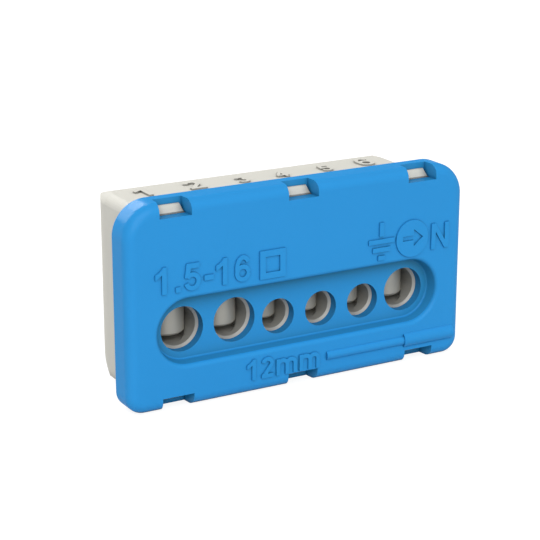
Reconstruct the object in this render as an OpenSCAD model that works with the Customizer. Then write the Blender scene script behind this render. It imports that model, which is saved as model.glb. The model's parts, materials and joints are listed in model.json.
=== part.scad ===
// Six-way screw terminal block for wires. A moulded housing holds one metal bar, a clamp screw
// stands over each wire bore, and a moulded cover with the wire entries snaps on at the front.
// Millimetres. +Z is up, the wire entries face -Y, and the row of entries runs along X.
// The origin is at the middle of the base.

/* [Wire entries] */
// Distance between neighbouring wire entries
entry_pitch = 6.4; // [6.3:0.1:7.2]
// Distance between the two large entries that lie side by side
wide_pitch = 7.4; // [7.2:0.1:8.4]
// Diameter of a large wire entry
large_entry_d = 5.9; // [5.6:0.1:6.1]
// Diameter of a small wire entry
small_entry_d = 4.7; // [4.3:0.1:5]
// Height of the lowest point of every wire entry
entry_low_z = 6.79; // [6.3:0.01:7.4]
// Length of bare wire that goes in behind the recess
strip_length = 12; // [11:0.1:14]

/* [Cover] */
// Height of the cover
cover_h = 26.67; // [26:0.01:30]
// Depth of the cover from its front to the back of its rim
cover_depth = 3.95; // [3.7:0.05:4.6]
// How far the cover stands out past each side of the housing
flange = 3.7; // [3.4:0.1:5]
// Thickness of the front plate
plate = 1.55; // [1.2:0.05:1.8]
// Thickness of the rim at the sides and below
rim = 1.64; // [1.4:0.01:2]
// Thickness of the rim above
top_rim = 1.84; // [1.6:0.01:2.2]
// Radius of the two upper corners
top_corner_r = 4.45; // [3.6:0.05:5.5]
// Radius of the two lower corners
low_corner_r = 2.3; // [2.2:0.05:3.5]
// Radius of the rounded front edge
front_round = 1.35; // [0.8:0.05:1.5]

/* [Recess] */
// Height of the recess around the wire entries, at its mouth
recess_h = 8.6; // [8.2:0.1:9]
// Height of the middle of the recess
recess_z = 9.88; // [9.7:0.01:10.3]
// Depth of the recess
recess_depth = 1.85; // [1.6:0.05:2.2]
// Margin between the outermost entry and the end of the recess
recess_end = 1.2; // [1:0.1:1.8]
// Radius of the rounded edge at the mouth of the recess
recess_round = 0.55; // [0.2:0.05:0.8]
// How far the walls of the recess lean in towards its floor
recess_draft = 0.2; // [0.05:0.05:0.4]
// Radius of the fillet around the recess floor
recess_fillet = 0.25; // [0.1:0.05:0.5]
// Thickness of the recess floor and walls
tray_wall = 1.3; // [1:0.05:1.6]

/* [Snap catches] */
// Distance between neighbouring catches
catch_pitch = 18; // [16:0.5:19]
// Width of the window that each catch snaps into, at the front
window_w = 4.37; // [4:0.01:5]
// How much each side of a window leans in towards the strap
window_taper = 0.23; // [0.1:0.01:0.4]
// Thickness of the strap behind each window
strap = 1.45; // [1.2:0.05:1.6]
// Height of a catch above the lip that carries it
catch_h = 1.1; // [0.8:0.05:1.3]
// Height of the blunt front edge of a catch
catch_nose = 0.2; // [0.1:0.05:0.3]
// Gap between a catch and each side of its window at the strap
catch_side_gap = 0.05; // [0.05:0.05:0.3]
// How much each end of a catch leans in over its height
catch_lean = 0.3; // [0.1:0.05:0.5]
// Thickness of the two lips that carry the catches
lip = 1.2; // [1:0.1:1.5]

/* [Terminal bar] */
// Depth of the bar from front to back
bar_depth = 8; // [7:0.1:9]
// Metal below the wire bores
bar_floor = 1.3; // [1:0.1:2]
// Metal above the large wire bores
bar_roof = 4; // [3:0.1:5]
// Metal beyond the outermost wire bore
bar_end = 0.85; // [0.6:0.05:1.5]
// Chamfer at the mouth of each wire bore
bore_chamfer = 0.3; // [0.2:0.05:0.4]
// Chamfer along the long edges of the bar
bar_chamfer = 0.3; // [0.1:0.05:0.5]

/* [Clamp screws] */
// Thread diameter of a large clamp screw
large_screw_d = 5; // [4.6:0.1:5]
// Thread diameter of a small clamp screw
small_screw_d = 4; // [3.5:0.1:4]
// Length of a clamp screw
screw_length = 10; // [9:0.1:11]
// Distance of the screw axes behind the front of the bar
screw_setback = 3.65; // [3.2:0.05:4]
// Gap under a large clamp screw at rest
large_screw_gap = 1; // [0.5:0.05:2]
// Gap under a small clamp screw at rest
small_screw_gap = 0.85; // [0.5:0.05:2]
// Chamfer at the lower end of a clamp screw
screw_chamfer = 0.3; // [0.2:0.05:0.5]
// Width of the driver slot
slot_w = 0.9; // [0.6:0.1:1.2]
// Depth of the driver slot
slot_depth = 1.6; // [1:0.1:2]

/* [Housing] */
// Thickness of the side walls beside the bar
side_wall = 1; // [0.8:0.1:1.5]
// Depth of the whole block, from the front of the cover to the back of the housing
block_depth = 20.1; // [19.5:0.1:24]
// Height of the housing's underside above the lower edge of the cover
foot_gap = 0.5; // [0.1:0.05:0.7]
// Radius of the housing's upper edge on the left
left_edge_r = 1.5; // [0.5:0.1:2.5]
// Radius that the left upper edge grows to at the back
left_corner_r = 3.6; // [2.5:0.1:4.5]
// Radius of the housing's upper edge on the right
right_edge_r = 0.5; // [0.2:0.1:1.5]
// Radius that the right upper edge grows to at the back
right_corner_r = 2; // [1.5:0.1:4.5]
// Radius of the rounding at the back of each side
side_round = 6; // [4:0.1:6.2]
// Radius of the rounding at the back of the top
top_round = 5.2; // [4:0.1:6.2]
// Height and depth of the sloping face at the foot of the back
heel = 6.2; // [4:0.1:6.4]
// Room around a screwdriver in its guide, over the screw's radius
guide_room = 0.4; // [0.3:0.05:0.45]
// Height of the driver guides above the top of the bar
guide_rise = 2.2; // [2:0.1:4]
// Width of the ribs between the hollows under the bar
rib = 1; // [0.8:0.1:1.5]
// Thickness of the shelf under the bar
shelf = 1.2; // [1:0.1:1.5]

/* [Fits] */
// Clearance around the bar, and between housing and cover
fit = 0.05; // [0.03:0.01:0.08]
// Clearance around each clamp screw in its thread
thread_fit = 0.05; // [0.03:0.01:0.08]
// Room left behind the end of a wire
wire_room = 2.4; // [1:0.1:2.6]

/* [Hidden] */
$fn = 96;
edge_fn = 32;
// Cuts run this far past the faces that they open
over = 1;

// Row of entries: large, large, small, small, small, large
is_large = [true, true, false, false, false, true];
last = len(is_large) - 1;
row_length = wide_pitch + (last - 1) * entry_pitch;
function entry_x(i) = -row_length / 2 + (i == 0 ? 0 : wide_pitch + (i - 1) * entry_pitch);
function entry_r(i) = (is_large[i] ? large_entry_d : small_entry_d) / 2;
function entry_z(i) = entry_low_z + entry_r(i);
function bore_r(i) = entry_r(i) - bore_chamfer;
function screw_r(i) = (is_large[i] ? large_screw_d : small_screw_d) / 2;
function screw_low_z(i) = bore_low_z + (is_large[i] ? large_screw_gap : small_screw_gap);
function guide_r(i) = screw_r(i) + guide_room;
outer_entry_r = large_entry_d / 2;
bore_low_z = entry_low_z + bore_chamfer;

// Depths, counted back from the front face of the cover
seat_y = recess_depth + tray_wall;
screw_y = seat_y + screw_setback;
bar_back_y = seat_y + bar_depth;
wire_end_y = recess_depth + strip_length + wire_room;
window_back_y = cover_depth - strap;
window_back_half = window_w / 2 - window_taper;
lip_front_y = plate + fit;
block_front_y = cover_depth + fit;

// Heights
bar_low_z = bore_low_z - bar_floor;
bar_top_z = entry_low_z + large_entry_d - bore_chamfer + bar_roof;
guide_low_z = bar_top_z + guide_rise;
housing_top_z = cover_h - top_rim - fit;
neck_low_z = rim + fit;

// Half widths
bar_half = row_length / 2 + outer_entry_r - bore_chamfer + bar_end;
pocket_half = bar_half + fit;
housing_half = pocket_half + side_wall;
cover_half = housing_half + flange;
lip_half = catch_pitch + window_w / 2;
recess_half = row_length / 2 + outer_entry_r + recess_end;
recess_r = recess_h / 2;

cover_blue = [0.16, 0.55, 0.84];
housing_white = [0.86, 0.85, 0.81];
plated_grey = [0.70, 0.69, 0.67];
screw_grey = [0.60, 0.60, 0.58];

// Moves what is modelled from the front face and the base into the part's own frame
module in_frame() {
    translate([0, -block_depth / 2, 0]) children();
}

// Stands up what is modelled lying on its back, front face up at height 0
module upright() {
    rotate([90, 0, 0]) children();
}

// Rectangle on the X axis with its own radii at the upper and the lower corners
module rounded_rectangle(half, height, upper_r, lower_r) {
    translate([-half, lower_r]) square([2 * half, height - upper_r - lower_r]);
    translate([upper_r - half, height - upper_r]) square([2 * (half - upper_r), upper_r]);
    translate([lower_r - half, 0]) square([2 * (half - lower_r), lower_r]);
    for (side = [-1, 1]) {
        translate([side * (half - upper_r), height - upper_r]) circle(upper_r);
        translate([side * (half - lower_r), lower_r]) circle(lower_r);
    }
}

// Half section of the cover's edge: reach outwards, front face at 0, rounded at the front
module cover_edge_section(reach) {
    translate([0, -cover_depth]) square([reach, cover_depth - front_round]);
    translate([0, -front_round]) square([reach - front_round, front_round]);
    translate([reach - front_round, -front_round]) intersection() {
        circle(front_round);
        square(front_round);
    }
}

// One corner of the cover, turned about its own axis, and the straight edge that follows it
module cover_corner(r, start) {
    rotate(start) rotate_extrude(angle = 90) cover_edge_section(r);
}

module cover_edge(r, length) {
    rotate([90, 0, 90]) linear_extrude(length) cover_edge_section(r);
}

// Cover as a full block, lying on its back
module cover_blank() {
    upper_half = cover_half - top_corner_r;
    lower_half = cover_half - low_corner_r;
    side_length = cover_h - top_corner_r - low_corner_r;
    translate([upper_half, cover_h - top_corner_r, 0]) cover_corner(top_corner_r, 0);
    translate([-upper_half, cover_h - top_corner_r, 0]) cover_corner(top_corner_r, 90);
    translate([-lower_half, low_corner_r, 0]) cover_corner(low_corner_r, 180);
    translate([lower_half, low_corner_r, 0]) cover_corner(low_corner_r, 270);
    translate([-upper_half, cover_h - top_corner_r, 0]) cover_edge(top_corner_r, 2 * upper_half);
    translate([lower_half, low_corner_r, 0]) rotate(180) cover_edge(low_corner_r, 2 * lower_half);
    translate([upper_half, cover_h - top_corner_r, 0]) rotate(-90) cover_edge(top_corner_r, side_length);
    translate([-upper_half, low_corner_r, 0]) rotate(90) cover_edge(top_corner_r, side_length);
    translate([-upper_half, low_corner_r, -cover_depth]) cube([2 * upper_half, side_length, cover_depth]);
}

// Half section of the recess as a cutter: flared at the mouth, leaning walls, with a fillet at the floor
module recess_section() {
    mouth_r = recess_r + recess_round;
    floor_r = recess_r - recess_draft;
    fillet_y = recess_fillet - recess_depth;
    square([mouth_r, over]);
    difference() {
        translate([0, -recess_round]) square([mouth_r, recess_round]);
        translate([mouth_r, -recess_round]) circle(recess_round);
    }
    polygon([[0, fillet_y], [floor_r, fillet_y], [recess_r, -recess_round], [0, -recess_round]]);
    translate([0, -recess_depth]) square([floor_r - recess_fillet, recess_fillet]);
    translate([floor_r - recess_fillet, fillet_y]) intersection() {
        circle(recess_fillet);
        translate([0, -recess_fillet]) square(recess_fillet);
    }
}

// Recess with round ends, lying on its back
module recess_cut() {
    straight = 2 * (recess_half - recess_r);
    for (side = [0, 1]) {
        rotate(180 * side) translate([straight / 2, 0, 0]) {
            rotate(-90) rotate_extrude(angle = 180) recess_section();
            rotate([90, 0, -90]) linear_extrude(straight) recess_section();
        }
    }
}

// Flat shape with round ends
module stadium(half, r) {
    square([2 * (half - r), 2 * r], center = true);
    for (side = [-1, 1]) translate([side * (half - r), 0]) circle(r);
}

// Window through plate and rim, narrower at the strap, lying on its back and cut down from the edge
module catch_window(height) {
    half = window_w / 2;
    translate([0, over, 0]) rotate([90, 0, 0]) linear_extrude(height + over)
        polygon([[-half, over], [-half, 0], [-window_back_half, -window_back_y],
                 [window_back_half, -window_back_y], [half, 0], [half, over]]);
}

module front_cover() color(cover_blue) in_frame() upright() difference() {
    union() {
        difference() {
            cover_blank();
            translate([0, rim, -cover_depth - over]) linear_extrude(cover_depth + over - plate)
                rounded_rectangle(cover_half - rim, cover_h - rim - top_rim, top_corner_r - rim, low_corner_r - rim);
        }
        translate([0, recess_z, -seat_y]) linear_extrude(seat_y - plate / 2)
            stadium(recess_half + tray_wall, recess_r + tray_wall);
    }
    translate([0, recess_z, 0]) recess_cut();
    for (i = [0:last]) translate([entry_x(i), entry_z(i), -seat_y - over]) cylinder(seat_y + 2 * over, r = entry_r(i));
    for (x = [-catch_pitch, 0, catch_pitch]) {
        translate([x, cover_h, 0]) catch_window(cover_h - housing_top_z);
        translate([x, 0, 0]) mirror([0, 1, 0]) catch_window(neck_low_z);
    }
}

// One catch, pointing up, with its lip's surface at height 0 and the cover's front at depth 0.
// Its front slope runs out softly at its foot and is rounded over at its top.
module catch_wedge() {
    back_y = window_back_y - fit;
    half = window_back_half - catch_side_gap;
    steps = 8;
    slope = [for (i = [0:steps]) [lip_front_y + (back_y - lip_front_y) * i / steps,
                                  catch_nose + (catch_h - catch_nose) * (1 - cos(180 * i / steps)) / 2]];
    intersection() {
        rotate([90, 0, 90]) linear_extrude(2 * half, center = true)
            polygon(concat([[lip_front_y, -lip / 2]], slope, [[back_y, -lip / 2]]));
        rotate([90, 0, 0]) linear_extrude(2 * cover_depth, center = true)
            polygon([[-half, -lip / 2], [-half, 0], [catch_lean - half, catch_h],
                     [half - catch_lean, catch_h], [half, 0], [half, -lip / 2]]);
    }
}

// Outline of the housing from above, behind the cover, with its back corners rounded
module housing_plan() {
    round_x = housing_half - side_round;
    round_y = block_depth - side_round;
    translate([-housing_half, block_front_y]) square([2 * housing_half, round_y - block_front_y]);
    translate([-round_x, block_front_y]) square([2 * round_x, block_depth - block_front_y]);
    for (side = [-1, 1]) translate([side * round_x, round_y]) circle(side_round);
}

// Outline of the housing from the side: rounded above at the back, and a sloping heel below
module housing_profile() {
    round_y = block_depth - top_round;
    round_z = housing_top_z - top_round;
    polygon([[block_front_y, foot_gap], [block_depth - heel, foot_gap], [block_depth, foot_gap + heel],
             [block_depth, round_z], [round_y, round_z], [round_y, housing_top_z], [block_front_y, housing_top_z]]);
    translate([round_y, round_z]) circle(top_round);
}

// Rounded upper edges, running just outside the faces; each widens around its back corner
module housing_upper_edges() {
    slice = 0.1;
    skin = 0.02;
    half = housing_half + skin;
    top_z = housing_top_z + skin;
    hull() for (side = [-1, 1]) {
        edge_r = side < 0 ? left_edge_r : right_edge_r;
        corner_r = side < 0 ? left_corner_r : right_corner_r;
        translate([side * (half - edge_r), block_front_y - skin, top_z - edge_r])
            rotate([-90, 0, 0]) cylinder(block_depth - side_round - block_front_y, r = edge_r, $fn = edge_fn);
        translate([side * (half - corner_r), block_depth, top_z - corner_r])
            rotate([-90, 0, 0]) cylinder(slice, r = corner_r, $fn = 2 * edge_fn);
        translate([side * (half - slice / 2) - slice / 2, block_front_y - skin, foot_gap - slice])
            cube([slice, block_depth + slice + skin - block_front_y, slice]);
    }
}

// Outer form of the housing behind the cover
module housing_block() intersection() {
    housing_upper_edges();
    translate([0, 0, foot_gap - over]) linear_extrude(housing_top_z - foot_gap + 2 * over) housing_plan();
    rotate([90, 0, 90]) linear_extrude(2 * (housing_half + over), center = true) housing_profile();
}

// Carries an outline that stands on the neck's lower face back from a given depth
module from_front(front_y, depth) {
    translate([0, front_y + depth, neck_low_z]) rotate([90, 0, 0]) linear_extrude(depth) children();
}

// Neck of the housing inside the cover, with the two lips that carry the catches
module housing_neck() {
    neck_h = housing_top_z - neck_low_z;
    cavity_gap = rim + fit;
    from_front(seat_y, block_front_y - seat_y + over) rounded_rectangle(housing_half, neck_h, left_edge_r, fit);
    intersection() {
        from_front(lip_front_y, seat_y - lip_front_y + over)
            rounded_rectangle(cover_half - cavity_gap, neck_h, top_corner_r - cavity_gap, low_corner_r - cavity_gap);
        for (z = [neck_low_z - over, housing_top_z - lip])
            translate([-lip_half, 0, z]) cube([2 * lip_half, block_depth, lip + over]);
    }
    for (x = [-catch_pitch, 0, catch_pitch]) {
        translate([x, 0, housing_top_z]) catch_wedge();
        translate([x, 0, neck_low_z]) mirror([0, 0, 1]) catch_wedge();
    }
}

// Hollows under the bar, one below each wire entry, open to the front
module housing_hollows() {
    low_z = neck_low_z + lip;
    height = bar_low_z - fit - shelf - low_z;
    for (i = [0:last]) {
        left = i == 0 ? -pocket_half : (entry_x(i - 1) + entry_x(i) + rib) / 2;
        right = i == last ? pocket_half : (entry_x(i) + entry_x(i + 1) - rib) / 2;
        translate([left, seat_y - over, low_z]) cube([right - left, bar_back_y - seat_y + over, height]);
    }
}

module housing() color(housing_white) in_frame() difference() {
    union() {
        housing_block();
        housing_neck();
    }
    translate([-pocket_half, seat_y - over, bar_low_z - fit])
        cube([2 * pocket_half, bar_depth + over + fit, bar_top_z - bar_low_z + 2 * fit]);
    housing_hollows();
    for (i = [0:last]) {
        translate([entry_x(i), bar_back_y, entry_z(i)]) rotate([-90, 0, 0])
            cylinder(wire_end_y - bar_back_y, r = bore_r(i) + fit);
        translate([entry_x(i), screw_y, bar_top_z]) cylinder(guide_rise + over, r = screw_r(i) + 2 * thread_fit);
        translate([entry_x(i), screw_y, guide_low_z]) cylinder(housing_top_z - guide_low_z + over, r = guide_r(i));
    }
}

// Section of the bar across its length, with its long edges chamfered
module bar_section() {
    height = bar_top_z - bar_low_z;
    polygon([[bar_chamfer, 0], [bar_depth - bar_chamfer, 0], [bar_depth, bar_chamfer],
             [bar_depth, height - bar_chamfer], [bar_depth - bar_chamfer, height], [bar_chamfer, height],
             [0, height - bar_chamfer], [0, bar_chamfer]]);
}

// Wire bores from front to back; the screw holes run down across them, almost to their lowest line
module terminal_bar() color(plated_grey) in_frame() difference() {
    translate([-bar_half, seat_y, bar_low_z]) rotate([90, 0, 90]) linear_extrude(2 * bar_half) bar_section();
    for (i = [0:last]) {
        translate([entry_x(i), seat_y, entry_z(i)]) rotate([-90, 0, 0]) {
            translate([0, 0, -over]) cylinder(bar_depth + 2 * over, r = bore_r(i));
            cylinder(bore_chamfer, r1 = entry_r(i), r2 = bore_r(i));
        }
        translate([entry_x(i), screw_y, bore_low_z + thread_fit])
            cylinder(bar_top_z - bore_low_z + over, r = screw_r(i) + thread_fit);
    }
}

// Headless clamp screw with a chamfered end and a driver slot
module clamp_screw(i) color(screw_grey) in_frame() translate([entry_x(i), screw_y, screw_low_z(i)]) difference() {
    union() {
        cylinder(screw_chamfer, r1 = screw_r(i) - screw_chamfer, r2 = screw_r(i));
        translate([0, 0, screw_chamfer]) cylinder(screw_length - screw_chamfer, r = screw_r(i));
    }
    translate([-screw_r(i) - over, -slot_w / 2, screw_length - slot_depth])
        cube([2 * (screw_r(i) + over), slot_w, slot_depth + over]);
}

housing();
terminal_bar();
clamp_screw(0);  // clamp_screw_1
clamp_screw(1);  // clamp_screw_2
clamp_screw(2);  // clamp_screw_3
clamp_screw(3);  // clamp_screw_4
clamp_screw(4);  // clamp_screw_5
clamp_screw(5);  // clamp_screw_6
front_cover();
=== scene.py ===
import json
import math

import bmesh
import bpy
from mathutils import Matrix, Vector
from mathutils.geometry import delaunay_2d_cdt


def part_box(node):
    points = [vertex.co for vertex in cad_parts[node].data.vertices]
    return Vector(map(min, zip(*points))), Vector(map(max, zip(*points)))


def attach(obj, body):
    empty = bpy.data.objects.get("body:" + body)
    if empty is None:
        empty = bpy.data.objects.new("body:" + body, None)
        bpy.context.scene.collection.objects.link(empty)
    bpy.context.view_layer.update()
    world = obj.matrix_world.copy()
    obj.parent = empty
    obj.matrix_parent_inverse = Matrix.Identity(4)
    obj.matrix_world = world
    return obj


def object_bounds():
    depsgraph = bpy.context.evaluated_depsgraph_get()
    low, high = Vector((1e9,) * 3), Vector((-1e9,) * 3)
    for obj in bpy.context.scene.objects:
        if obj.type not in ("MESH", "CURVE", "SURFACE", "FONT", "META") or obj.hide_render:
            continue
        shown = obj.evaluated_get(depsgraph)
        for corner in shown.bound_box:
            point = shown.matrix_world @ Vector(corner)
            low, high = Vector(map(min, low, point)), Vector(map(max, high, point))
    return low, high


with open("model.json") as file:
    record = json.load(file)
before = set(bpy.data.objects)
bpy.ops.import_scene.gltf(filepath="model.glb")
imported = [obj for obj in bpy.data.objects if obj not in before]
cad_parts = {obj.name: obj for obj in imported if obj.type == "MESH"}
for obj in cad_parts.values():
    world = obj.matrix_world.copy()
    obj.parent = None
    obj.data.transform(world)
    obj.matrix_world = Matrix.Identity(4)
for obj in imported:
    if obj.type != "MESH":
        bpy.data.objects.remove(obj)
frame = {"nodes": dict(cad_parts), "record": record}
cad_low, cad_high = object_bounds()


# Terminal bar
# One drawn brass bar, cross-drilled for six wires and tapped from above for the clamp screws.
# It is tin plated all over, so it looks satin grey, with faint lines along its length.

MM = 0.001
WHITE = (1.0, 1.0, 1.0, 1.0)
SKY_SAMPLES = 8


class Signal:
    """A shader socket that takes part in sums, so that a pattern reads as an expression."""

    def __init__(self, finish, socket):
        self.finish = finish
        self.socket = socket

    def combine(self, operation, first, second):
        return self.finish.node("ShaderNodeMath", {"operation": operation}, {0: first, 1: second})

    def __add__(self, other):
        return self.combine("ADD", self, other)

    def __radd__(self, other):
        return self.combine("ADD", other, self)

    def __sub__(self, other):
        return self.combine("SUBTRACT", self, other)

    def __rsub__(self, other):
        return self.combine("SUBTRACT", other, self)

    def __mul__(self, other):
        return self.combine("MULTIPLY", self, other)

    def __rmul__(self, other):
        return self.combine("MULTIPLY", other, self)

    def __lt__(self, other):
        return self.combine("LESS_THAN", self, other)

    def __abs__(self):
        return self.combine("ABSOLUTE", self, 0.0)

    def at_least(self, other):
        return self.combine("MAXIMUM", self, other)


class Finish:
    """The nodes of one material or of the world, with one method that adds a node of any type."""

    def __init__(self, owner):
        owner.use_nodes = True
        self.owner = owner
        self.tree = owner.node_tree

    def feed(self, socket, value):
        if isinstance(value, Signal):
            self.tree.links.new(value.socket, socket)
        else:
            socket.default_value = value

    def node(self, kind, settings=None, sockets=None, output=0):
        added = self.tree.nodes.new(kind)
        for setting, value in (settings or {}).items():
            setattr(added, setting, value)
        for socket, value in (sockets or {}).items():
            self.feed(added.inputs[socket], value)
        return Signal(self, added.outputs[output])

    def shade(self, sockets):
        for socket, value in sockets.items():
            self.feed(self.tree.nodes["Principled BSDF"].inputs[socket], value)

    def place(self, stretch=(1.0, 1.0, 1.0)):
        """The piece's own coordinates in metres, multiplied along each axis."""
        here = self.node("ShaderNodeTexCoord", output="Object")
        return self.node("ShaderNodeVectorMath", {"operation": "MULTIPLY"}, {0: here, 1: stretch})

    def axis(self, vector, letter):
        return self.node("ShaderNodeSeparateXYZ", {}, {0: vector}, letter)

    def noise(self, stretch, detail):
        sockets = {"Vector": self.place(stretch), "Scale": 1.0, "Detail": detail}
        return self.node("ShaderNodeTexNoise", {}, sockets)

    def between(self, factor, low, high):
        """A colour that runs from low to high with the factor."""
        return self.node("ShaderNodeMix", {"data_type": "RGBA"}, {0: factor, 6: low, 7: high}, 2)

    def rise(self, value, start, stop):
        """Zero up to the start, one from the stop on, and a straight run between them."""
        return self.node("ShaderNodeMapRange", {}, {
            "Value": value, "From Min": start, "From Max": stop, "To Min": 0.0, "To Max": 1.0,
        })

    def openness(self, reach, closed, free, alone=False):
        """Zero where the share of open sky is the closed value or less, one from the free value on.
        alone leaves out what other pieces hide."""
        settings = {"samples": SKY_SAMPLES, "only_local": alone}
        sockets = {"Color": WHITE, "Distance": reach}
        open_share = self.node("ShaderNodeAmbientOcclusion", settings, sockets, "AO")
        return self.rise(open_share, closed, free)

    def bump(self, height, distance, strength):
        sockets = {"Height": height, "Distance": distance, "Strength": strength}
        return self.node("ShaderNodeBump", {}, sockets)


def tint(red, green, blue, level=1.0):
    """A screen colour from 0 to 255, times a level, as the linear colour that a shader takes."""
    def linear(share):
        return share / 12.92 if share <= 0.04045 else ((share + 0.055) / 1.055) ** 2.4
    return tuple(linear(value / 255) * level for value in (red, green, blue)) + (1.0,)


def dress(node, finish):
    for slot in frame["nodes"][node].material_slots:
        slot.material = finish.owner


BAR_GREY = (177, 175, 168)
BAR_CLOUDS_PER_METRE = (350.0, 350.0, 350.0)
BAR_LINES_PER_METRE = (150.0, 9000.0, 9000.0)
BAR_LINE_DETAIL = 2.0
BAR_LINE_DEPTH = 0.01 * MM
BAR_LINE_STRENGTH = 0.35
BORE_SHADE_GREY = (95, 94, 92)
BORE_FOOT = 7.2 * MM
BORE_TOP = 11.8 * MM
BORE_REACH = 12 * MM
BORE_CLOSED = 0.1
BORE_FREE = 0.5
CLOUD_DETAIL = 3.0
PLATING_DULL = 0.92
PLATING_BRIGHT = 1.06
PLATING_METALLIC = 0.4
PLATING_ROUGHNESS = 0.5
PLATING_ROUGHNESS_SPREAD = 0.12

# Painted shade: the bores get darker towards their tops, where little light comes in
tin_plate = Finish(bpy.data.materials.new("tin_plated_brass"))
drawn_lines = tin_plate.noise(BAR_LINES_PER_METRE, BAR_LINE_DETAIL)
tin_clouds = tin_plate.noise(BAR_CLOUDS_PER_METRE, CLOUD_DETAIL)
open_tin = tin_plate.between(tin_clouds, tint(*BAR_GREY, PLATING_DULL), tint(*BAR_GREY, PLATING_BRIGHT))
bore_rise = tin_plate.rise(tin_plate.axis(tin_plate.place(), "Z"), BORE_FOOT, BORE_TOP)
painted_bore_shade = bore_rise * (1.0 - tin_plate.openness(BORE_REACH, BORE_CLOSED, BORE_FREE))
tin_plate.shade({
    "Base Color": tin_plate.between(painted_bore_shade, open_tin, tint(*BORE_SHADE_GREY)),
    "Metallic": PLATING_METALLIC,
    "Roughness": PLATING_ROUGHNESS + PLATING_ROUGHNESS_SPREAD * tin_clouds,
    "Normal": tin_plate.bump(drawn_lines, BAR_LINE_DEPTH, BAR_LINE_STRENGTH),
})
dress("terminal_bar", tin_plate)


# Clamp screws
# Six slotted steel screws, three of each size, which are driven down through the housing's guides.
# They are turned and zinc plated, and their chamfered ends press the wire into the bar.

SCREW_GREY = (178, 175, 165)
SCREW_CLOUDS_PER_METRE = (500.0, 500.0, 500.0)
SCREW_LINES_PER_METRE = (60.0, 60.0, 14000.0)
SCREW_LINE_DETAIL = 1.0
SCREW_LINE_DEPTH = 0.008 * MM
SCREW_LINE_STRENGTH = 0.3

zinc_plate = Finish(bpy.data.materials.new("zinc_plated_steel"))
turned_lines = zinc_plate.noise(SCREW_LINES_PER_METRE, SCREW_LINE_DETAIL)
zinc_clouds = zinc_plate.noise(SCREW_CLOUDS_PER_METRE, CLOUD_DETAIL)
zinc_plate.shade({
    "Base Color": zinc_plate.between(
        zinc_clouds, tint(*SCREW_GREY, PLATING_DULL), tint(*SCREW_GREY, PLATING_BRIGHT),
    ),
    "Metallic": PLATING_METALLIC,
    "Roughness": PLATING_ROUGHNESS + PLATING_ROUGHNESS_SPREAD * zinc_clouds,
    "Normal": zinc_plate.bump(turned_lines, SCREW_LINE_DEPTH, SCREW_LINE_STRENGTH),
})
for node in frame["nodes"]:
    if node.startswith("clamp_screw"):
        dress(node, zinc_plate)


# Housing
# One moulding of off-white plastic that holds the bar, guides the screwdriver from above and carries
# the catches that hold the cover. The terminal numbers on its top are raised in the mould.

HOUSING_WHITE = (213, 211, 202)
HOUSING_PAINTED_SHADE = (92, 90, 84)
HOUSING_CREASE_SHADE_REACH = 1.4 * MM
HOUSING_CREASE_SHADE_CLOSED = 0.35
HOUSING_CREASE_SHADE_FREE = 0.95
HOUSING_CLOUDS_PER_METRE = (120.0, 120.0, 120.0)
HOUSING_SPARK_PER_METRE = (7000.0, 7000.0, 7000.0)
HOUSING_ROUGHNESS = 0.52
HOUSING_ROUGHNESS_SPREAD = 0.08
HOUSING_SPECULAR = 0.12
PLASTIC_DULL = 0.98
PLASTIC_BRIGHT = 1.02
SPARK_DETAIL = 2.0
SPARK_DEPTH = 0.01 * MM
SPARK_STRENGTH = 0.2

off_white = Finish(bpy.data.materials.new("off_white_plastic"))
housing_spark = off_white.noise(HOUSING_SPARK_PER_METRE, SPARK_DETAIL)
housing_clouds = off_white.noise(HOUSING_CLOUDS_PER_METRE, CLOUD_DETAIL)
open_white = off_white.between(
    housing_clouds, tint(*HOUSING_WHITE, PLASTIC_DULL), tint(*HOUSING_WHITE, PLASTIC_BRIGHT),
)
# Painted shade: the colour darkens in creases and at the feet of the raised numbers and the catches
off_white.shade({
    "Base Color": off_white.between(
        off_white.openness(HOUSING_CREASE_SHADE_REACH, HOUSING_CREASE_SHADE_CLOSED, HOUSING_CREASE_SHADE_FREE),
        tint(*HOUSING_PAINTED_SHADE),
        open_white,
    ),
    "Roughness": HOUSING_ROUGHNESS + HOUSING_ROUGHNESS_SPREAD * housing_spark,
    "Specular IOR Level": HOUSING_SPECULAR,
    "Normal": off_white.bump(housing_spark, SPARK_DEPTH, SPARK_STRENGTH),
})
dress("housing", off_white)

ARC_STEP = 10.0
BOWL_THINNING = 0.87
MARK_SUNK = 0.1
MARK_DRAFT = 0.04
INSIDE_ONLY = 1
SAME_POINT = 0.00001


def arc(centre, radii, start, stop):
    """Points along part of an ellipse, from one angle in degrees to another."""
    steps = max(2, round(abs(stop - start) / ARC_STEP))
    angles = [math.radians(start + (stop - start) * i / steps) for i in range(steps + 1)]
    return [(centre[0] + radii[0] * math.cos(a), centre[1] + radii[1] * math.sin(a)) for a in angles]


def block(left, low, right, high):
    return [(left, low), (right, low), (right, high), (left, high)]


def ribbon(line, width):
    """The polygons of a flat ribbon along a line, mitred at its corners."""
    points = [Vector(point) for point in line]
    left_edge = []
    right_edge = []
    for i, point in enumerate(points):
        ahead = points[min(i + 1, len(points) - 1)] - points[min(i, len(points) - 2)]
        behind = points[max(i, 1)] - points[max(i - 1, 0)]
        along = (ahead.normalized() + behind.normalized()).normalized()
        across = Vector((-along.y, along.x)) * width / 2 / along.dot(ahead.normalized())
        left_edge.append(point + across)
        right_edge.append(point - across)
    pairs = range(len(points) - 1)
    return [[right_edge[i], right_edge[i + 1], left_edge[i + 1], left_edge[i]] for i in pairs]


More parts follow.
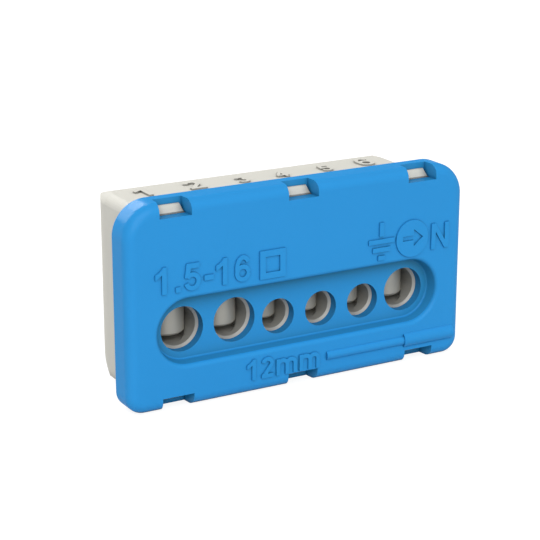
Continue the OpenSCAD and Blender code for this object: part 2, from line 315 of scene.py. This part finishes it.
def figures(stroke):
    """Plain upright figures and letters one unit tall: how far each moves the pen, and its polygons."""
    def pen(line):
        return ribbon(line, stroke)

    def bowl(line):
        return ribbon(line, BOWL_THINNING * stroke)
    return {
        "1": (0.78, [[
            (0.53 - stroke, 0), (0.53, 0), (0.53, 1), (0.38, 1), (0.33, 0.91), (0.22, 0.82),
            (0.08, 0.75), (0.08, 0.75 - stroke), (0.22, 0.64), (0.53 - stroke, 0.73),
        ]]),
        "2": (0.78, pen(arc((0.37, 0.7), (0.22, 0.21), 170, -30) + [(0.18, 0.12)])
              + [block(0.06, 0, 0.67, stroke)]),
        "3": (0.78, pen(arc((0.36, 0.72), (0.2, 0.185), 165, -80))
              + pen(arc((0.36, 0.31), (0.23, 0.22), 80, -165))),
        "4": (0.78, pen([(0.51, 0.92), (0.12, 0.32)])
              + [block(0.04, 0.21, 0.72, 0.21 + stroke), block(0.6 - stroke, 0, 0.6, 1)]),
        "5": (0.78, pen([(0.66, 1 - stroke / 2), (0.23, 1 - stroke / 2), (0.16, 0.47)])
              + bowl(arc((0.37, 0.33), (0.245, 0.255), 145, -165))),
        "6": (0.78, bowl(arc((0.385, 0.325), (0.235, 0.24), 0, 360))
              + bowl(arc((0.4, 0.5), (0.25, 0.415), 200, 35))),
        ".": (0.39, [block(0.1, 0, 0.1 + stroke, stroke)]),
        "-": (0.47, [block(0.07, 0.28, 0.45, 0.28 + stroke)]),
        "m": (1.23, [block(0.05, 0, 0.05 + stroke, 0.78)]
              + pen(arc((0.385, 0.5), (0.24, 0.19), 180, 0) + [(0.625, 0)])
              + pen(arc((0.84, 0.5), (0.215, 0.19), 180, 0) + [(1.055, 0)])),
        "N": (1, [[
            (0, 0), (stroke, 0), (stroke, 0.68), (0.8 - stroke, 0), (0.8, 0), (0.8, 1),
            (0.8 - stroke, 1), (0.8 - stroke, 0.32), (stroke, 1), (0, 1),
        ]]),
    }


def written(text, left, base, height, stroke):
    """The polygons of a line of text in millimetres, from its first pen place and its base line."""
    polygons = []
    letters = figures(stroke)
    for character in text:
        advance, shapes = letters[character]
        for shape in shapes:
            polygons.append([(left + x * height, base + z * height) for x, z in shape])
        left += advance * height
    return polygons


def finished_piece(name, mesh):
    """The object that a drawn mesh becomes, in the scene."""
    data = bpy.data.meshes.new(name)
    mesh.to_mesh(data)
    mesh.free()
    piece = bpy.data.objects.new(name, data)
    bpy.context.scene.collection.objects.link(piece)
    return piece


def raised_mark(name, spot, rise, solid, cut=()):
    """A mark that stands up from a face: the union of the solid polygons less the cut ones.
    spot turns a place on the face and a height over it, in millimetres, into a point."""
    corners = []
    outlines = []
    for polygon in list(solid) + list(cut):
        outlines.append(list(range(len(corners), len(corners) + len(polygon))))
        corners += [Vector(point) for point in polygon]
    points, _, triangles, _, _, owners = delaunay_2d_cdt(corners, [], outlines, INSIDE_ONLY, SAME_POINT)
    kept = []
    for triangle, sources in zip(triangles, owners):
        if sources and max(sources) < len(solid):
            kept.append(triangle)
    sides = {(t[i], t[(i + 1) % 3]) for t in kept for i in range(3)}
    rims = [(a, b) for a, b in sides if (b, a) not in sides]
    outward = {i: Vector((0, 0)) for triangle in kept for i in triangle}
    for a, b in rims:
        along = (points[b] - points[a]).normalized()
        for end in (a, b):
            outward[end] += Vector((along.y, -along.x))
    mesh = bmesh.new()
    top = {}
    foot = {}
    for i, away in outward.items():
        spread = points[i] + away.normalized() * MARK_DRAFT
        top[i] = mesh.verts.new(spot(points[i].x, points[i].y, rise))
        foot[i] = mesh.verts.new(spot(spread.x, spread.y, -MARK_SUNK))
    for triangle in kept:
        mesh.faces.new([top[i] for i in triangle])
        mesh.faces.new([foot[i] for i in reversed(triangle)])
    for a, b in rims:
        mesh.faces.new([top[b], top[a], foot[a], foot[b]])
    return finished_piece(name, mesh)


def fix(piece, finish):
    piece.data.materials.append(finish.owner)
    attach(piece, "block")


# Sizes of the numbers are in millimetres, and a stroke is a share of the height
NUMBER_STROKE = 0.17
NUMBER_RISE = 0.22
NUMBER_MIDDLES = (-16.3, -9.1, -2.27, 3.57, 10.42, 16.86)
LARGE_NUMBERS = "126"
LARGE_NUMBER_HEIGHT = 3.6
SMALL_NUMBER_HEIGHT = 2.6
NUMBER_BASE_FROM_COVER_FRONT = 10.6

guide = next(mount for mount in frame["record"]["mounts"] if mount["name"] == "driver_guide_1")
housing_top = guide["pos_m"][2] + guide["dims"]["length_mm"] * MM / 2
cover_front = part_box("front_cover")[0].y


def on_housing_top(x, depth, rise):
    return Vector((x * MM, cover_front + depth * MM, housing_top + rise * MM))


for count, middle in enumerate(NUMBER_MIDDLES, 1):
    number = str(count)
    height = LARGE_NUMBER_HEIGHT if number in LARGE_NUMBERS else SMALL_NUMBER_HEIGHT
    pen_start = middle - figures(NUMBER_STROKE)[number][0] * height / 2
    shapes = written(number, pen_start, NUMBER_BASE_FROM_COVER_FRONT, height, NUMBER_STROKE)
    mark = raised_mark("terminal_number_" + number, on_housing_top, NUMBER_RISE, shapes)
    fix(mark, off_white)


# Front cover
# One moulding of blue plastic, clipped over the housing's catches. Its face carries raised signs:
# the wire sizes, the earth, input and neutral signs, and the strip length beside a picture of a wire.

COVER_BLUE = (44, 147, 216)
COVER_PAINTED_SHADE = (30, 98, 142)
COVER_CREASE_SHADE_REACH = 0.6 * MM
COVER_CREASE_SHADE_CLOSED = 0.3
COVER_CREASE_SHADE_FREE = 0.9
COVER_CLOUDS_PER_METRE = (110.0, 110.0, 110.0)
COVER_SPARK_PER_METRE = (6000.0, 6000.0, 6000.0)
COVER_ROUGHNESS = 0.3
COVER_ROUGHNESS_SPREAD = 0.06
COVER_COAT = 0.25
COVER_COAT_ROUGHNESS = 0.27
RECESS_MIDDLE = 9.88 * MM
RECESS_HALF = 5.0 * MM
RECESS_STRAIGHT = 16.35 * MM
RECESS_DEPTH = 1.9 * MM
LIP_DEPTH = 0.55 * MM
LIP_HIGHLIGHT_LEVEL = 1.22
FILLET_START = 1.58 * MM
FILLET_FOOT = 1.84 * MM
HOLLOW_SHADE_BLUE = (44, 121, 155)
HOLLOW_REACH = 10 * MM
HOLLOW_CLOSED = 0.66
HOLLOW_FREE = 0.95
HOLLOW_SHADE = 0.5
RECESS_SHADE = 0.26
RECESS_SHADE_PER_METRE = 50.0
ENTRY_SHADE = 0.4
ENTRY_LOW_SHADE_BLUE = (44, 120, 168)
ENTRY_HIGH_SHADE_BLUE = (39, 99, 131)
ENTRY_FOOT = -2.0 * MM

blue = Finish(bpy.data.materials.new("blue_plastic"))
cover_spark = blue.noise(COVER_SPARK_PER_METRE, SPARK_DETAIL)
cover_clouds = blue.noise(COVER_CLOUDS_PER_METRE, CLOUD_DETAIL)
clouded_blue = blue.between(
    cover_clouds, tint(*COVER_BLUE, PLASTIC_DULL), tint(*COVER_BLUE, PLASTIC_BRIGHT),
)

# Which places lie in the recess, in a wire entry behind it, or on a rounding of the recess that faces up,
# for the painted shade and highlight
cover_place = blue.place()
depth = blue.axis(cover_place, "Y") - cover_front
over_middle = blue.axis(cover_place, "Z") - RECESS_MIDDLE
past_straight = (abs(blue.axis(cover_place, "X")) - RECESS_STRAIGHT).at_least(0.0)
in_recess = past_straight * past_straight + over_middle * over_middle < RECESS_HALF ** 2
in_entry = 1.0 - (depth < RECESS_DEPTH)
facing_up = in_recess * (0.0 - over_middle).at_least(0.0) * (1.0 / RECESS_HALF)
on_lip = facing_up * (depth < LIP_DEPTH)
on_fillet = facing_up * ((depth < FILLET_FOOT) - (depth < FILLET_START))

# Painted shade: hollows are darker, most of all high in the recess and in the entries, but not on
# roundings that face up
hidden = 1.0 - blue.openness(HOLLOW_REACH, HOLLOW_CLOSED, HOLLOW_FREE, alone=True)
recess_shade = RECESS_SHADE + RECESS_SHADE_PER_METRE * over_middle + ENTRY_SHADE * in_entry
hollow_shade = hidden * (1.0 - on_lip - on_fillet) * (HOLLOW_SHADE + in_recess * recess_shade)
entry_rise = blue.rise(over_middle, ENTRY_FOOT, 0.0)
entry_shade_blue = blue.between(entry_rise, tint(*ENTRY_LOW_SHADE_BLUE), tint(*ENTRY_HIGH_SHADE_BLUE))
hollow_shade_blue = blue.between(in_recess * in_entry, tint(*HOLLOW_SHADE_BLUE), entry_shade_blue)
# Painted highlight: the lip that faces up is lighter, and the painted shade is left off it and off the
# floor's fillet
lip_highlight = on_lip * depth * (1.0 / LIP_DEPTH)
blue_with_lip_highlight = blue.between(lip_highlight, clouded_blue, tint(*COVER_BLUE, LIP_HIGHLIGHT_LEVEL))
# Painted shade: the colour also darkens at the feet of the raised signs and in narrow creases
blue.shade({
    "Base Color": blue.between(
        blue.openness(COVER_CREASE_SHADE_REACH, COVER_CREASE_SHADE_CLOSED, COVER_CREASE_SHADE_FREE),
        tint(*COVER_PAINTED_SHADE),
        blue.between(hollow_shade, blue_with_lip_highlight, hollow_shade_blue),
    ),
    "Roughness": COVER_ROUGHNESS + COVER_ROUGHNESS_SPREAD * cover_spark,
    "Specular IOR Level": 0.0,
    "Coat Weight": COVER_COAT,
    "Coat Roughness": COVER_COAT_ROUGHNESS,
    "Normal": blue.bump(cover_spark, SPARK_DEPTH, SPARK_STRENGTH),
})
dress("front_cover", blue)


def on_cover_face(x, z, rise):
    return Vector((x * MM, cover_front - rise * MM, z * MM))


# Sizes of the signs are in millimetres, and a stroke is a share of the height
SIGN_RISE = 0.2
SIGN_STROKE = 0.19
SIZES_LEFT = -21.29
SIZES_BASE = 15.28
SIZES_HEIGHT = 3.45
SQUARE_LEFT = -6.46
SQUARE_BASE = 15.1
SQUARE_SIDE = 3.7
SQUARE_BAR = 0.8
NEUTRAL_LEFT = 19.55
NEUTRAL_BASE = 15.3
NEUTRAL_HEIGHT = 3.5
LENGTH_LEFT = -8.58
LENGTH_BASE = 1.87
LENGTH_HEIGHT = 2.79

sizes = written("1.5-16", SIZES_LEFT, SIZES_BASE, SIZES_HEIGHT, SIGN_STROKE)
neutral = written("N", NEUTRAL_LEFT, NEUTRAL_BASE, NEUTRAL_HEIGHT, SIGN_STROKE)
length = written("12mm", LENGTH_LEFT, LENGTH_BASE, LENGTH_HEIGHT, SIGN_STROKE)


def square_inside(margin):
    """The outline of the square sign, brought in by a margin on every side."""
    right = SQUARE_LEFT + SQUARE_SIDE
    top = SQUARE_BASE + SQUARE_SIDE
    return block(SQUARE_LEFT + margin, SQUARE_BASE + margin, right - margin, top - margin)


EARTH_MIDDLE = 11.7
EARTH_STEM_HALF = 0.33
EARTH_STEM_FOOT = 18.2
EARTH_STEM_TOP = 20.05
EARTH_BARS = ((1.98, 17.52), (1.35, 16.4), (0.52, 15.28))
EARTH_BAR_HALF = 0.31


def earth_bar(half, low, high):
    return block(EARTH_MIDDLE - half, low, EARTH_MIDDLE + half, high)


earth = [earth_bar(EARTH_STEM_HALF, EARTH_STEM_FOOT, EARTH_STEM_TOP)]
for half, middle in EARTH_BARS:
    earth.append(earth_bar(half, middle - EARTH_BAR_HALF, middle + EARTH_BAR_HALF))

DISC_MIDDLE = (16.5, 17.26)
DISC_RADIUS = 2.51
ARROW_MIDDLE = (16.5, 17.33)
ARROW_TAIL = -1.48
ARROW_NECK = 0.23
ARROW_TIP = 1.67
ARROW_SHAFT_HALF = 0.33
ARROW_HEAD_HALF = 1.16

disc = arc(DISC_MIDDLE, (DISC_RADIUS, DISC_RADIUS), 0, 360)[:-1]
arrow = [(ARROW_MIDDLE[0] + x, ARROW_MIDDLE[1] + z) for x, z in (
    (ARROW_TAIL, -ARROW_SHAFT_HALF), (ARROW_NECK, -ARROW_SHAFT_HALF), (ARROW_NECK, -ARROW_HEAD_HALF),
    (ARROW_TIP, 0), (ARROW_NECK, ARROW_HEAD_HALF), (ARROW_NECK, ARROW_SHAFT_HALF),
    (ARROW_TAIL, ARROW_SHAFT_HALF),
)]

for name, solid, cut in (
    ("sign_wire_sizes", sizes, []),
    ("sign_square", [square_inside(0)], [square_inside(SQUARE_BAR)]),
    ("sign_earth", earth, []),
    ("sign_input", [disc], [arrow]),
    ("sign_neutral", neutral, []),
    ("sign_strip_length", length, []),
):
    fix(raised_mark(name, on_cover_face, SIGN_RISE, solid, cut), blue)

GAUGE_MIDDLE = 3.17
GAUGE_START = 3.5
GAUGE_STEP = 15.55
GAUGE_END = 23.35
CORE_WIDTH = 1.22
CORE_RISE = 0.4
SLEEVE_WIDTH = 1.94
SLEEVE_RISE = 0.55


def half_round(name, start, end, width, rise):
    """A straight bar with a round back, lying on the cover's face."""
    radius = (width ** 2 / 4 + rise ** 2) / (2 * rise)
    reach = math.degrees(math.asin(width / 2 / radius))
    section = arc((GAUGE_MIDDLE, rise - radius), (radius, radius), 90 - reach, 90 + reach)
    section = [(section[0][0], -MARK_SUNK)] + section + [(section[-1][0], -MARK_SUNK)]
    mesh = bmesh.new()
    ends = []
    for x in (start, end):
        ends.append([mesh.verts.new(on_cover_face(x, z, height)) for z, height in section])
    first, last = ends
    for i in range(len(section)):
        j = (i + 1) % len(section)
        mesh.faces.new([first[i], last[i], last[j], first[j]])
    mesh.faces.new(first)
    mesh.faces.new(list(reversed(last)))
    bmesh.ops.recalc_face_normals(mesh, faces=mesh.faces)
    return finished_piece(name, mesh)


fix(half_round("gauge_core", GAUGE_START, GAUGE_STEP, CORE_WIDTH, CORE_RISE), blue)
fix(half_round("gauge_sleeve", GAUGE_STEP, GAUGE_END, SLEEVE_WIDTH, SLEEVE_RISE), blue)


# Floor, room and lamps
# A pale floor that shows white and takes hardly a shadow, in a room that is white behind the block and
# dimmer towards its back. A broad soft lamp stands in front, above and to the left, and two small lamps
# behind the block light its edges.

FLOOR_HALF = 3.0
FLOOR_BOUNCE = (0.55, 0.55, 0.55, 1.0)
FLOOR_SHOWN = (0.25, 0.25, 0.25, 1.0)
FLOOR_GLOW = (0.87, 0.87, 0.87, 1.0)
NO_GLOW = (0.0, 0.0, 0.0, 1.0)
ROOM_LEVEL = 0.64
ROOM_BACK_LEVEL = 0.14
ROOM_BACK = 0.8
BACKDROP_TOP = 0.16


def seen_directly(finish):
    """One for rays from the camera, from a mirror or through glass, and zero for light that bounces."""
    path = finish.node("ShaderNodeLightPath", output="Is Camera Ray")
    outputs = path.socket.node.outputs
    return path + Signal(finish, outputs["Is Glossy Ray"]) + Signal(finish, outputs["Is Transmission Ray"])


floor_mesh = bpy.data.meshes.new("floor")
floor_corners = [(x * FLOOR_HALF, y * FLOOR_HALF, 0.0) for x, y in ((-1, -1), (1, -1), (1, 1), (-1, 1))]
floor_mesh.from_pydata(floor_corners, [], [(0, 1, 2, 3)])
floor = bpy.data.objects.new("floor", floor_mesh)
bpy.context.scene.collection.objects.link(floor)
paper = Finish(bpy.data.materials.new("pale_floor"))
shown = seen_directly(paper)
paper.shade({
    "Base Color": paper.between(shown, FLOOR_BOUNCE, FLOOR_SHOWN),
    "Roughness": 1.0,
    "Specular IOR Level": 0.0,
    "Emission Color": paper.between(shown, NO_GLOW, FLOOR_GLOW),
    "Emission Strength": 1.0,
})
floor.data.materials.append(paper.owner)

room = Finish(bpy.data.worlds.new("white_room"))
bpy.context.scene.world = room.owner
room_direction = room.node("ShaderNodeTexCoord", output="Generated")
room_light = room.node("ShaderNodeMapRange", {"interpolation_type": "SMOOTHSTEP"}, {
    "Value": room.axis(room_direction, "Y"),
    "From Min": 0.0, "From Max": ROOM_BACK, "To Min": ROOM_LEVEL, "To Max": ROOM_BACK_LEVEL,
})
backdrop = seen_directly(room) * (room.axis(room_direction, "Z") < BACKDROP_TOP)
background = room.tree.nodes["Background"]
room.feed(background.inputs["Color"], WHITE)
room.feed(background.inputs["Strength"], backdrop + (1.0 - backdrop) * room_light)

block_middle = (cad_low + cad_high) / 2


def lamp(name, place, side, watts):
    """A square soft lamp that faces the middle of the block."""
    light = bpy.data.lights.new(name, "AREA")
    light.size = side
    light.energy = watts
    holder = bpy.data.objects.new(name, light)
    holder.location = place
    holder.rotation_euler = (block_middle - Vector(place)).to_track_quat("-Z", "Y").to_euler()
    bpy.context.scene.collection.objects.link(holder)


lamp("back_lamp", place=(0.02, 0.42, 0.295), side=0.18, watts=1.0)
lamp("left_lamp", place=(-0.16, 0.41, 0.23), side=0.2, watts=0.78)
lamp("front_lamp", place=(-0.3, -0.76, 0.55), side=1.0, watts=6.5)


# Camera
# A long lens in front of the block, to its left and a little above it. Its place and length come from
# a fit to the photograph.

CAMERA_AIM = Vector((-4.92, -10.0, 16.13)) * MM
CAMERA_AZIMUTH = math.radians(-29.77)
CAMERA_ELEVATION = math.radians(17.07)
CAMERA_DISTANCE = 0.2129
CAMERA_LENS = 112.96
CAMERA_SENSOR = 36.0

towards_camera = Vector((
    math.sin(CAMERA_AZIMUTH) * math.cos(CAMERA_ELEVATION),
    -math.cos(CAMERA_AZIMUTH) * math.cos(CAMERA_ELEVATION),
    math.sin(CAMERA_ELEVATION),
))
camera = bpy.data.objects.new("camera", bpy.data.cameras.new("camera"))
camera.data.lens = CAMERA_LENS
camera.data.sensor_width = CAMERA_SENSOR
camera.location = CAMERA_AIM + towards_camera * CAMERA_DISTANCE
camera.rotation_euler = (-towards_camera).to_track_quat("-Z", "Y").to_euler()
bpy.context.scene.collection.objects.link(camera)
bpy.context.scene.camera = camera
bpy.context.scene.view_settings.view_transform = "Standard"
